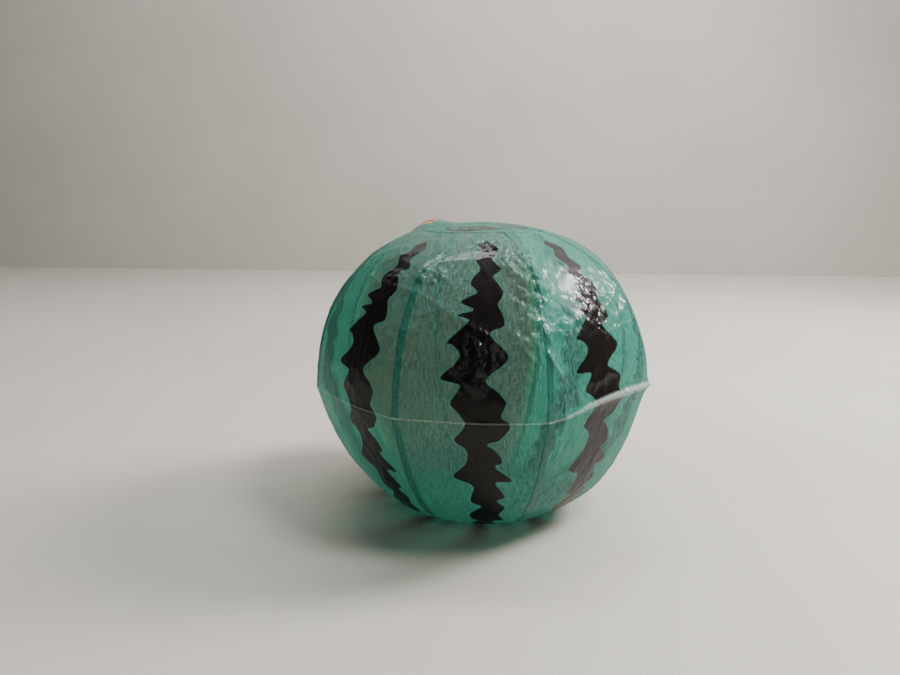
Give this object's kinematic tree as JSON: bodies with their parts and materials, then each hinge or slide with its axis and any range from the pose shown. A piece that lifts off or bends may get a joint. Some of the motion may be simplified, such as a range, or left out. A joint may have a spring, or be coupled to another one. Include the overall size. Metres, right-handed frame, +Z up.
{
  "type": "paper balloon",
  "caption": "Blown-up paper ball of lapped and glued gores with a round paper at each pole and a blow hole, printed as a striped watermelon.",
  "frame": {"origin": "on the floor, under the middle of the flat foot", "axes": "+Z up through the blow hole; the middle of gore 1 faces -Y, and the gores are numbered towards +X"},
  "size_m": [0.2156, 0.2156, 0.1901],
  "materials": {
    "rind_paper": "gloss",
    "cut_paper": "gloss",
    "disc_paper": "gloss"
  },
  "bodies": {
    "root": {"rind_gore_1": "rind_paper", "rind_gore_2": "rind_paper", "rind_gore_3": "rind_paper", "rind_gore_4": "rind_paper", "cut_gore_5": "cut_paper", "cut_gore_6": "cut_paper", "rind_gore_7": "rind_paper", "rind_gore_8": "rind_paper", "top_disc": "disc_paper", "bottom_disc": "disc_paper"}
  },
  "joints": []
}
